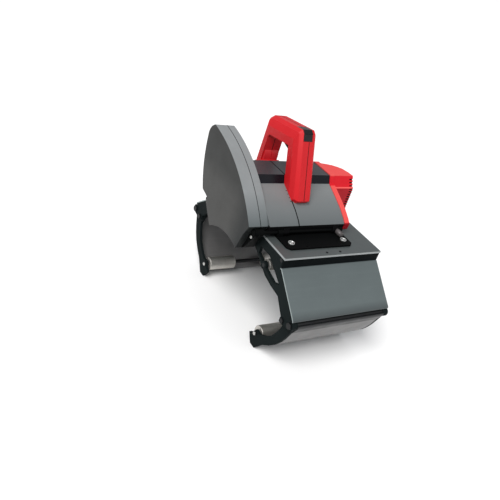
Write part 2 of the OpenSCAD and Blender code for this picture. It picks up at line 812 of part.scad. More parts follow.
function on_leg(s, n) = grip_outer[2] + s * leg_way + n * leg_out;
handle_screw_shares = [[0.45, -0.18], [0.6, 0.17]];
function handle_screw_places() =
    [on_leg(handle_h * handle_screw_shares[0][0], handle_h * handle_screw_shares[0][1]),
     on_bar(handle_h * handle_screw_shares[1][0], handle_h * handle_screw_shares[1][1])];

module handle_solid(x, length) {
    difference() {
        intersection() {
            hull() {
                prism(grip_outer, handle_x + handle_chamfer, handle_w - 2 * handle_chamfer);
                prism(inset(grip_outer, handle_chamfer), handle_x, handle_w);
            }
            translate([x, -head_front, head_bottom])
                cube([length, head_depth, handle_top]);
        }
        prism(grip_hole, x - overrun, length + 2 * overrun);
        prism(full_outline, x - overrun, length + 2 * overrun);
    }
}
module handle_cavity() {
    x = handle_x + handle_side_wall;
    length = handle_w - 2 * handle_side_wall;
    difference() {
        prism(inset(grip_outer, handle_wall), x, length);
        prism(inset(grip_hole, -handle_wall), x - overrun, length + 2 * overrun);
        prism(inset(full_outline, -handle_floor), x - overrun, length + 2 * overrun);
    }
}
module handle_cuts() {
    handle_cavity();
    slot = trigger_w + 2 * side_gap;
    prism([on_bar(-side_gap, -trigger_out), on_bar(-side_gap, trigger_in + trigger_travel + side_gap),
           on_bar(trigger_l + side_gap, trigger_in + trigger_travel + side_gap),
           on_bar(trigger_l + side_gap, -trigger_out)], trigger_x - side_gap, slot);
    button_low = button_start - side_gap;
    button_high = button_start + button_l + side_gap;
    prism([on_leg(button_low, overrun), on_leg(button_low, -button_in - button_travel),
           on_leg(button_high, -button_in - button_travel), on_leg(button_high, overrun)],
          button_x - side_gap, button_w + 2 * side_gap);
}
module handle_left_half() {
    color("#d8262c") difference() {
        handle_solid(handle_x, handle_left_w);
        handle_cuts();
    }
}
module handle_right_half() {
    x = handle_x + handle_w - head_screw_t;
    color("#d8262c") difference() {
        handle_solid(handle_seam, handle_w - handle_left_w);
        handle_cuts();
        for (p = handle_screw_places())
            bar(p, head_screw_r, x, head_screw_t + overrun);
    }
}

module trigger() {
    color("#15181a") prism(
        [on_bar(0, -trigger_out), on_bar(0, trigger_in), on_bar(trigger_l, trigger_in),
         on_bar(trigger_l, -trigger_tail)], trigger_x, trigger_w);
}
module lock_button() {
    end = button_start + button_l;
    color("#15181a") prism(
        [on_leg(button_start, button_out), on_leg(button_start, -button_in), on_leg(end, -button_in),
         on_leg(end, button_out)], button_x, button_w);
}
switch_gap = 0.9;
switch_l = 30;
switch_h = 20;
module switch_body() {
    low = trigger_in + trigger_travel + switch_gap;
    color("#303030") prism(
        [on_bar(handle_wall, low), on_bar(handle_wall, low + switch_h),
         on_bar(handle_wall + switch_l, low + switch_h), on_bar(handle_wall + switch_l, low)],
        handle_x + handle_side_wall, handle_w - 2 * handle_side_wall);
}

// Red bezel: an end wall that carries the rear motor bearing
bezel_lip = 2;
bezel_pocket = 7;
bearing_w = 8;
rear_bearing_r = 11;
vent_ring_r = 22;
vent_hole_r = 4;
vent_count = 8;
module bezel() {
    color("#d8262c") difference() {
        prism(inset(full_outline, -bezel_lip), bezel_x, bezel_w);
        prism(inset(full_outline, head_wall), bezel_x - overrun, bezel_pocket + overrun);
        bar(motor_axis, rear_bearing_r, bezel_x - overrun, bezel_w + 2 * overrun);
        for (i = [0 : vent_count - 1])
            bar(motor_axis + polar(vent_ring_r, 360 * i / vent_count), vent_hole_r,
                bezel_x - overrun, bezel_w + 2 * overrun);
    }
}

// Rear cap: a roof in line with the housing over a set-back body, with a comb of vents at its end
cap_top_shares = [[0.97, 0.423], [0.948, 0.502], [0.873, 0.573], [0.724, 0.617], [0.545, 0.649],
                  [0.313, 0.673], [0, 0.695]];
cap_plan_shares = [[1, 0.54], [0.97, 0.64], [0.85, 0.74], [0.6, 0.83], [0.3, 0.88], [0, 0.9]];
cap_rise_share = 0.6;
cap_shares = [[0.3696, -0.18], [0.3696, 0.6105], [0.4, 0.743], [0.435, 1], [0.719, 1], [1, 0.5],
              [1, 0.316], [0.921, 0.329], [0.921, -0.1], [0.897, -0.18]];
cap_outline = [for (s = cap_shares) head_point(s)];
slot_count = 11;
slot_h = 3.8;
slot_depth = 12;
slot_start = 20;
slot_low_share = 0.105;
slot_step_share = 0.0777;
vent_w = 50;
function cap_plan(shares) = concat(
    [[0, -head_front - overrun], [cap_x + shares[0][0] * cap_w, -head_front - overrun]],
    [for (s = shares) [cap_x + s[0] * cap_w, s[1] * head_depth - head_front]],
    [[0, shares[len(shares) - 1][1] * head_depth - head_front]]);
module cap_envelope() {
    low = head_bottom - overrun;
    hull() {
        translate([0, 0, low])
            linear_extrude(cap_rise_share * head_h)
                polygon(cap_plan(cap_plan_shares));
        translate([0, 0, head_bottom + head_h + overrun])
            linear_extrude(overrun)
                polygon(cap_plan(cap_top_shares));
    }
}
module rear_cap() {
    color("#d8262c") difference() {
        intersection() {
            prism(cap_outline, cap_x, cap_w);
            cap_envelope();
        }
        intersection() {
            prism(inset(cap_outline, head_wall), cap_x - overrun, cap_w);
            translate([-head_wall - slot_depth, 0, 0])
                cap_envelope();
        }
        difference() {
            for (u = slot_places())
                translate([cap_x + slot_start, -head_front, u])
                    cube([cap_w, head_depth, slot_h]);
            translate([-slot_depth, 0, 0])
                cap_envelope();
        }
        for (u = slot_places())
            translate([cap_x + cap_w - slot_depth - head_wall - overrun, -motor_axis[0] - vent_w / 2, u])
                cube([head_wall + 2 * overrun, vent_w, slot_h]);
    }
}
function slot_places() =
    [for (i = [0 : slot_count - 1]) head_bottom + head_h * (slot_low_share + slot_step_share * i)];

gland_l = 22;
gland_nut_l = 7;
gland_r = 9;
gland_bore = 4;
gland_in = 22;
gland_x = bezel_x - gland_in;
gland_rise = 19;
gland_neck_r = 6.5;
function gland_place() = [gland_x, -back_low[0] - head_wall, back_low[1] + gland_rise];
module cable_gland() {
    color("#15181a") translate(gland_place()) rotate([-90, 0, 0]) difference() {
        union() {
            cylinder(r = gland_neck_r, h = gland_l, $fn = round_sides);
            translate([0, 0, head_wall])
                cylinder(r = gland_r, h = gland_nut_l, $fn = hex_sides);
        }
        translate([0, 0, -overrun])
            cylinder(r = gland_bore, h = gland_l + 2 * overrun, $fn = round_sides);
    }
}

// Gear case with the gears, in line between the blade and the motor
case_wall = 2.5;
end_wall = 8;
pinion_room = 15;
spindle_bearing_r = 13;
pinion_bearing_r = 9;
module gear_case() {
    length = case_end_x - case_x;
    color("#a8aaac") difference() {
        union() {
            bar(blade_axis, case_r, case_x, length);
            bar(motor_axis, pinion_room + case_wall, case_x, length);
            ring(blade_axis, neck_r, spindle_bearing_r, gear_x, case_x - gear_x);
        }
        bar(blade_axis, case_r - case_wall, case_x + end_wall, length - 2 * end_wall);
        bar(motor_axis, pinion_room, case_x + end_wall, length - 2 * end_wall);
        bar(blade_axis, spindle_bearing_r, case_x - overrun, length + 2 * overrun);
        bar(motor_axis, pinion_bearing_r, case_x - overrun, length + 2 * overrun);
    }
}
module spindle_bearings() {
    color("silver") for (x = [case_x, case_end_x - end_wall])
        ring(blade_axis, spindle_bearing_r, spindle_r + run_play, x, end_wall);
}
module motor_bearings() {
    color("silver") {
        for (x = [case_x, case_end_x - end_wall])
            ring(motor_axis, pinion_bearing_r, shaft_r + run_play, x, end_wall);
        ring(motor_axis, rear_bearing_r, shaft_r + run_play, cap_x - bearing_w, bearing_w);
    }
}

// Motor: stator in the seat rings, armature on the shaft
stack_in = 36;
stack_x = motor_x + stack_in;
stack_l = 62;
air_gap = 0.8;
module stator() {
    color("#6a4a30") ring(motor_axis, stator_r, armature_r + air_gap, stack_x, stack_l);
}
module armature() {
    color("#b87333") {
        bar(motor_axis, shaft_r, case_x + overrun, cap_x - case_x - overrun);
        ring(motor_axis, armature_r, shaft_r, stack_x, stack_l);
    }
}
commutator_r = 11;
commutator_gap = 8;
commutator_x = stack_x + stack_l + commutator_gap;
commutator_l = 16;
module commutator() {
    color("#b87333") ring(motor_axis, commutator_r, shaft_r, commutator_x, commutator_l);
}
brush_w = 8;
brush_ring_t = 4;
brush_x = seat_ribs[2];
module brush_ring() {
    color("#303030") {
        ring(motor_axis, stator_r, stator_r - brush_ring_t, brush_x, seat_w);
        for (s = [-1, 1])
            translate([brush_x, -motor_axis[0] - brush_w / 2,
                       motor_axis[1] + (s > 0 ? commutator_r + side_gap : -stator_r + overrun)])
                cube([brush_w, brush_w, stator_r - overrun - commutator_r - side_gap]);
    }
}
fan_r = 33;
fan_in = 12;
fan_x = motor_x + fan_in;
fan_hub_r = 8;
fan_rim = 1;
fan_l = 14;
fan_blades = 9;
fan_t = 2;
module cooling_fan() {
    color("#202020") {
        ring(motor_axis, fan_hub_r, shaft_r, fan_x, fan_l);
        ring(motor_axis, fan_r, shaft_r, fan_x, fan_t);
        for (i = [0 : fan_blades - 1])
            translate([fan_x, -motor_axis[0], motor_axis[1]])
                rotate([360 * i / fan_blades, 0, 0])
                    translate([fan_t / 2, -fan_t / 2, fan_hub_r - overrun])
                        cube([fan_l - fan_rim - fan_t / 2, fan_t, fan_r - fan_rim - fan_hub_r + overrun]);
    }
}

// Gear with straight-sided teeth, one of them or one gap at angle a
gear_w = 10;
gear_in = 6;
gear_case_mid = case_x + end_wall + gear_in;
tooth_shares = [[-0.25, -1], [-0.11, 0.8], [0.11, 0.8], [0.25, -1]];
function gear_outline(centre, teeth, r, a) =
    [for (i = [0 : teeth - 1]) for (k = tooth_shares)
        centre + polar(r + k[1] * gear_module, a + 360 * (i + k[0]) / teeth)];
module spindle_gear() {
    color("silver") difference() {
        prism(gear_outline(blade_axis, gear_teeth, gear_r, motor_angle), gear_case_mid, gear_w);
        bar(blade_axis, spindle_r, gear_case_mid - overrun, gear_w + 2 * overrun);
    }
}
module motor_pinion() {
    color("silver") difference() {
        prism(gear_outline(motor_axis, pinion_teeth, pinion_r, motor_angle + 180 + 180 / pinion_teeth),
              gear_case_mid, gear_w);
        bar(motor_axis, shaft_r, gear_case_mid - overrun, gear_w + 2 * overrun);
    }
}

// Spindle, saw blade and what clamps it
blade_in = 22;
blade_x = guard_x + blade_in;
flange_r = 22;
flange_t = 6;
outer_flange_t = 4;
bolt_head_t = 5;
bolt_head_r = 9;
module spindle() {
    x = blade_x - outer_flange_t;
    color("silver") bar(blade_axis, spindle_r, x, case_end_x - overrun - x);
}
module inner_flange() {
    color("silver") ring(blade_axis, flange_r, spindle_r, blade_x + blade_t, flange_t);
}
tooth_depth = 3;
saw_tooth_shares = [[0, 0], [0.25, 1], [0.85, 0.5]];
module saw_blade() {
    color("#c8ccd0") difference() {
        prism([for (i = [0 : blade_teeth - 1]) for (k = saw_tooth_shares)
                  blade_axis + polar(blade_d / 2 - k[1] * tooth_depth, 360 * (i + k[0]) / blade_teeth)],
              blade_x, blade_t);
        bar(blade_axis, spindle_r, blade_x - overrun, blade_t + 2 * overrun);
    }
}
module outer_flange() {
    color("silver") ring(blade_axis, flange_r, spindle_r, blade_x - outer_flange_t, outer_flange_t);
}
module blade_bolt() {
    x = blade_x - outer_flange_t - bolt_head_t;
    color("silver") bar(blade_axis, bolt_head_r, x, bolt_head_t, FRONT, hex_sides);
}

deck_plate();
end_plate_left();
end_plate_right();
front_cover();
rear_cover();
front_band();
rear_band();
tie_rods();
hinge_rods();
clamp_rods();
frame_screws();
base_plate();
base_screws();
head_hinge_pin();
upper_axles();
upper_front_rollers();
upper_rear_rollers();
front_jaw_left_plate();
front_jaw_right_plate();
front_jaw_shell();
front_jaw_axle();
front_jaw_rollers();
rear_jaw_left_plate();
rear_jaw_right_plate();
rear_jaw_shell();
rear_jaw_axle();
rear_jaw_rollers();
clamp_knob();
guard_outer_shell();
guard_inner_shell();
head_screws();
cover_latch();
guard_bracket();
gearbox_housing();
motor_housing();
bottom_tray();
stripe_insert();
handle_left_half();
handle_right_half();
bezel();
rear_cap();
cable_gland();
gear_case();
spindle_bearings();
motor_bearings();
stator();
brush_ring();
switch_body();
armature();
commutator();
cooling_fan();
motor_pinion();
spindle();
spindle_gear();
inner_flange();
saw_blade();
outer_flange();
blade_bolt();
trigger();
lock_button();
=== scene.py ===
import json
import math

import bpy
from mathutils import Matrix, Vector


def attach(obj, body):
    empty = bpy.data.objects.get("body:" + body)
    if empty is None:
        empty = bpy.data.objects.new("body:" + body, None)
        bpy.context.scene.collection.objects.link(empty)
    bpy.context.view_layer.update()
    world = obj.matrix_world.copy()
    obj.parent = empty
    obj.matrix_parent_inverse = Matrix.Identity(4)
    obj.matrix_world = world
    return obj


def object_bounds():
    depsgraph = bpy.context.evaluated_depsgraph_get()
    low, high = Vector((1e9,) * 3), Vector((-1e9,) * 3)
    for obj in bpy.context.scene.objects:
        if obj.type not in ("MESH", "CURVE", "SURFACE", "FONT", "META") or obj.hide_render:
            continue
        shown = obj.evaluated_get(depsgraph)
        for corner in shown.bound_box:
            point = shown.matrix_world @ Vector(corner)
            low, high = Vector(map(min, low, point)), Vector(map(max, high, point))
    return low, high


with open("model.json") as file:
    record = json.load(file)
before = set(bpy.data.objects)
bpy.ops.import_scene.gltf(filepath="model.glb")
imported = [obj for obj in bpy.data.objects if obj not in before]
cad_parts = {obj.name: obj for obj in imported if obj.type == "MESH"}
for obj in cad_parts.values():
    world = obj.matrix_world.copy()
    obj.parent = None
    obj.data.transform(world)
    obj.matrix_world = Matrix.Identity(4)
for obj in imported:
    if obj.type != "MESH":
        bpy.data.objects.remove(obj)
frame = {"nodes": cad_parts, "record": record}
cad_low, cad_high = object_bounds()
nodes = frame["nodes"]
scene = bpy.context.scene
scene.view_settings.view_transform = "Standard"
MM = 0.001
X, Y, Z = 0, 1, 2

# Camera at the photograph's viewing angle
CAM_AT = (-0.9196, -0.9720, 0.8230)
CAM_RIGHT = Vector((0.8343, -0.4771, 0.2761))
CAM_UP = Vector((0.0562, 0.5719, 0.8183))
CAM_BACK = Vector((-0.5484, -0.6672, 0.5040))
CAM_LENS = 42.12
CAM_SENSOR = 36.0
CAM_CLIP = 60.0


def photo_camera():
    data = bpy.data.cameras.new("photo_camera")
    data.sensor_fit = "HORIZONTAL"
    data.sensor_width = CAM_SENSOR
    data.lens = CAM_LENS
    data.clip_end = CAM_CLIP
    cam = bpy.data.objects.new("photo_camera", data)
    scene.collection.objects.link(cam)
    turn = Matrix((CAM_RIGHT, CAM_UP, CAM_BACK)).transposed()
    cam.matrix_world = Matrix.Translation(CAM_AT) @ turn.to_4x4()
    scene.camera = cam


# Pale floor that takes the shadow, just under the object's lowest point
FLOOR_HALF = 20.0
FLOOR_DROP = 0.0003
FLOOR_TONE = (0.9, 0.9, 0.9, 1)


def studio_floor():
    m = bpy.data.materials.new("studio_floor")
    m.use_nodes = True
    b = m.node_tree.nodes["Principled BSDF"]
    b.inputs["Roughness"].default_value = 0.95
    b.inputs["Specular IOR Level"].default_value = 0.0
    b.inputs["Base Color"].default_value = FLOOR_TONE
    z = cad_low[2] - FLOOR_DROP
    s = FLOOR_HALF
    mesh = bpy.data.meshes.new("studio_floor")
    mesh.from_pydata([(-s, -s, z), (s, -s, z), (s, s, z), (-s, s, z)], [], [(0, 1, 2, 3)])
    mesh.materials.append(m)
    floor = bpy.data.objects.new("studio_floor", mesh)
    scene.collection.objects.link(floor)


# Surrounding: white where the camera sees it, a softer and cooler light on the object
WORLD_LIGHT = (0.95, 0.97, 1.0, 1)
WORLD_STRENGTH = 0.42


def studio_world():
    world = bpy.data.worlds.new("studio")
    scene.world = world
    world.use_nodes = True
    nt = world.node_tree
    soft = nt.nodes["Background"]
    soft.inputs["Color"].default_value = WORLD_LIGHT
    soft.inputs["Strength"].default_value = WORLD_STRENGTH
    white = nt.nodes.new("ShaderNodeBackground")
    white.inputs["Color"].default_value = (1, 1, 1, 1)
    white.inputs["Strength"].default_value = 1.0
    path = nt.nodes.new("ShaderNodeLightPath")
    mix = nt.nodes.new("ShaderNodeMixShader")
    nt.links.new(path.outputs["Is Camera Ray"], mix.inputs[0])
    nt.links.new(soft.outputs[0], mix.inputs[1])
    nt.links.new(white.outputs[0], mix.inputs[2])
    nt.links.new(mix.outputs[0], nt.nodes["World Output"].inputs["Surface"])


def place_light(name, data, power, colour, way):
    data.energy = power
    data.color = colour
    o = bpy.data.objects.new(name, data)
    scene.collection.objects.link(o)
    o.rotation_euler = Vector(way).to_track_quat("-Z", "Y").to_euler()
    return o


def sun(name, way, strength, spread, colour=(1, 1, 1)):
    data = bpy.data.lights.new(name, "SUN")
    data.angle = math.radians(spread)
    place_light(name, data, strength, colour, way)


# Soft boxes look at the object's middle
BOX_AIM = Vector((0, 0, 0.12))


def softbox(name, place, size, power):
    data = bpy.data.lights.new(name, "AREA")
    data.shape = "RECTANGLE"
    data.size, data.size_y = size
    o = place_light(name, data, power, (1, 1, 1), BOX_AIM - Vector(place))
    o.location = place


photo_camera()
studio_floor()
studio_world()
sun("key_sun", way=(0.70, 0.37, -1.0), strength=3.05, spread=35, colour=(1.0, 0.99, 0.98))
softbox("front_box", place=(0.9, -1.7, 1.3), size=(1.6, 1.1), power=6)
softbox("top_box", place=(-0.2, 0.9, 1.9), size=(1.8, 1.0), power=6)

# Outlines that part.scad draws too: [front, up] points in mm, read from the photo as shares
HEAD_FRONT = 77
HEAD_DEPTH = 253
HEAD_LOW = 208
HEAD_H = 76
GRIP_LOW = 284
GRIP_H = 118


def head_point(a, b):
    return (HEAD_FRONT - a * HEAD_DEPTH, HEAD_LOW + b * HEAD_H)


def grip_point(a, b):
    return (HEAD_FRONT - a * HEAD_DEPTH, GRIP_LOW + b * GRIP_H)


SLOPE = [head_point(*s) for s in (
    (0, 0), (0.04, 0.12), (0.126, 0.31), (0.245, 0.507), (0.4, 0.743))]
ROOF = [head_point(*s) for s in ((0.435, 1), (0.719, 1), (1, 0.5), (1, 0))]
GRIP = [grip_point(*s) for s in (
    (0.162, -0.29), (0.403, 0.949), (0.435, 1), (0.897, 0.864), (0.957, 0.746), (0.968, -0.35))]
GRIP_HOLE = [grip_point(*s) for s in ((0.87, 0.02), (0.87, 0.415), (0.85, 0.466), (0.526, 0.568))]
HANDLE_X = -66.5
HANDLE_W = 50.0
HANDLE_SEAM = HANDLE_X + 26
GEARBOX_END = -65.0
STRIPE_LEFT = -149
STRIPE_W = 226


# Shader building blocks: every value is a number, a tuple or the output of another shader node
def feed(nt, socket, value):
    if isinstance(value, bpy.types.NodeSocket):
        nt.links.new(value, socket)
    else:
        socket.default_value = value


def shader_node(nt, kind, **values):
    n = nt.nodes.new("ShaderNode" + kind)
    for key, value in values.items():
        feed(nt, n.inputs[key.replace("_", " ")], value)
    return n


def new_material(name):
    m = bpy.data.materials.new(name)
    m.use_nodes = True
    return m, m.node_tree, m.node_tree.nodes["Principled BSDF"]


def coords(nt, scale=(1, 1, 1)):
    place = shader_node(nt, "TexCoord").outputs["Object"]
    return shader_node(nt, "Mapping", Vector=place, Scale=scale).outputs["Vector"]


def noise(nt, vec, scale, detail, rough):
    return shader_node(nt, "TexNoise", Vector=vec, Scale=scale, Detail=detail,
                       Roughness=rough).outputs["Fac"]


# Value that goes from a to b while fac goes from lo to hi
def span(nt, fac, lo, hi, a, b):
    return shader_node(nt, "MapRange", Value=fac, From_Min=lo, From_Max=hi, To_Min=a,
                       To_Max=b).outputs["Result"]


def axis_value(nt, axis):
    return shader_node(nt, "SeparateXYZ", Vector=coords(nt)).outputs[axis]


def joined(nt, kind, a, b):
    m = nt.nodes.new("ShaderNodeMath")
    m.operation = kind
    feed(nt, m.inputs[0], a)
    feed(nt, m.inputs[1], b)
    return m.outputs[0]


def mix_colour(nt, fac, a, b):
    m = nt.nodes.new("ShaderNodeMix")
    m.data_type = "RGBA"
    sockets = {s.identifier: s for s in m.inputs}
    for key, value in (("Factor_Float", fac), ("A_Color", a), ("B_Color", b)):
        feed(nt, sockets[key], value)
    return next(s for s in m.outputs if s.identifier == "Result_Color")


# A second bump on the same surface takes the first one's normal as its own
def bump(nt, bsdf, height, strength, distance):
    b = shader_node(nt, "Bump", Strength=strength, Distance=distance, Height=height)
    for link in bsdf.inputs["Normal"].links:
        nt.links.new(link.from_socket, b.inputs["Normal"])
    nt.links.new(b.outputs["Normal"], bsdf.inputs["Normal"])


def rgba(c, k=1.0):
    return tuple(min(v * k, 1.0) for v in c) + (1.0,)


# Changes of tone: (axis, mm where it begins, mm where it is full, tone, changes within it)
def banded(nt, base, bands):
    for axis, lo, hi, tone, *inner in bands:
        edge = span(nt, axis_value(nt, axis), lo * MM, hi * MM, 0, 1)
        base = mix_colour(nt, edge, base, banded(nt, rgba(tone), inner))
    return base


def two_tone(nt, fac, colour, dark, light):
    return mix_colour(nt, span(nt, fac, 0.3, 0.7, 0, 1), rgba(colour, dark), rgba(colour, light))


def uneven_gloss(nt, bsdf, fac, low, high):
    nt.links.new(span(nt, fac, 0.3, 0.7, low, high), bsdf.inputs["Roughness"])


# Depth in metres behind a line through two [front, up] points, whose outside is on its left
def depth_behind(nt, p, q):
    run = math.dist(p, q)
    out = ((p[1] - q[1]) / run, (q[0] - p[0]) / run)
    front = joined(nt, "MULTIPLY", axis_value(nt, Y), out[0])
    up = joined(nt, "MULTIPLY", axis_value(nt, Z), -out[1])
    shift = (out[0] * p[0] + out[1] * p[1]) * MM
    return joined(nt, "ADD", joined(nt, "ADD", front, up), shift)


# Facets of the handle's sides: from its outline they rise to a ridge, and behind it they fall off
FACET_RIDGE = 28.0
FACET_RISE = 0.54
FACET_FALL = 0.04
FACET_SKIN = 0.9


def handle_facets(nt, bsdf):
    depth = joined(nt, "MINIMUM", depth_behind(nt, GRIP[3], GRIP[2]),
                   depth_behind(nt, GRIP[1], GRIP[0]))
    outer = joined(nt, "MULTIPLY", depth, FACET_RISE)
    crest = (FACET_RISE + FACET_FALL) * FACET_RIDGE * MM
    inner = joined(nt, "SUBTRACT", crest, joined(nt, "MULTIPLY", depth, FACET_FALL))
    middle = (HANDLE_X + HANDLE_W / 2) * MM
    away = joined(nt, "ABSOLUTE", joined(nt, "SUBTRACT", axis_value(nt, X), middle), 0.0)
    on_side = joined(nt, "GREATER_THAN", away, (HANDLE_W / 2 - FACET_SKIN) * MM)
    bump(nt, bsdf, joined(nt, "MINIMUM", outer, inner), strength=on_side, distance=1.0)


# Satin coating: cloudy tone, faint rubbed streaks and fine grain
def coated(name, colour, rough=0.42, metal=0.0, grain=900, depth=0.2, cloud=0.08,
           streak=0.25, stretch=(5, 60, 60), bands=(), spec=0.5):
    m, nt, b = new_material(name)
    vec = coords(nt)
    base = two_tone(nt, noise(nt, vec, scale=9, detail=4, rough=0.6), colour, 1 - cloud, 1 + cloud)
    rub = noise(nt, coords(nt, stretch), scale=3, detail=5, rough=0.7)
    base = mix_colour(nt, span(nt, rub, 0.5, 0.8, 0, streak), base, rgba(colour, 1.5))
    nt.links.new(banded(nt, base, bands), b.inputs["Base Color"])
    b.inputs["Metallic"].default_value = metal
    b.inputs["Specular IOR Level"].default_value = spec
    uneven_gloss(nt, b, noise(nt, vec, scale=22, detail=5, rough=0.65), rough - 0.06, rough + 0.08)
    bump(nt, b, noise(nt, vec, scale=grain, detail=2, rough=0.5), strength=depth, distance=0.0002)
    return m


# Moulded plastic: spark-eroded grain, faint flow marks, a little dust in random patches
def moulded(name, colour, rough=0.38, grain=1400, depth=0.16, coat=0.0, cloud=0.05, bands=(),
            spec=0.5, shape=None):
    m, nt, b = new_material(name)
    if shape:
        shape(nt, b)
    vec = coords(nt)
    base = two_tone(nt, noise(nt, vec, scale=8, detail=4, rough=0.6), colour, 1 - cloud, 1 + cloud)
    dust = span(nt, noise(nt, vec, scale=60, detail=5, rough=0.75), 0.62, 0.8, 0, 0.08)
    base = mix_colour(nt, dust, base, rgba([c * 0.7 + 0.10 for c in colour]))
    nt.links.new(banded(nt, base, bands), b.inputs["Base Color"])
    b.inputs["Specular IOR Level"].default_value = spec
    b.inputs["Coat Weight"].default_value = coat
    b.inputs["Coat Roughness"].default_value = 0.2
    uneven_gloss(nt, b, noise(nt, vec, scale=18, detail=5, rough=0.65), rough - 0.06, rough + 0.08)
    bump(nt, b, noise(nt, vec, scale=grain, detail=2, rough=0.5), strength=depth, distance=0.0002)
    return m


# Bare metal with machining marks drawn out along one axis
def bare_metal(name, colour, rough=0.28, stretch=(4, 300, 300), marks=0.25, tarnish=0.25):
    m, nt, b = new_material(name)
    fine = noise(nt, coords(nt, stretch), scale=6, detail=6, rough=0.7)
    blot = noise(nt, coords(nt), scale=45, detail=5, rough=0.7)
    base = two_tone(nt, fine, colour, 0.85, 1.1)
    dull = rgba([c * 0.45 for c in colour])
    base = mix_colour(nt, span(nt, blot, 0.5, 0.75, 0, tarnish), base, dull)
    nt.links.new(base, b.inputs["Base Color"])
    b.inputs["Metallic"].default_value = 1.0
    uneven_gloss(nt, b, blot, rough, rough + 0.14)
    bump(nt, b, fine, strength=marks, distance=0.0001)
    return m


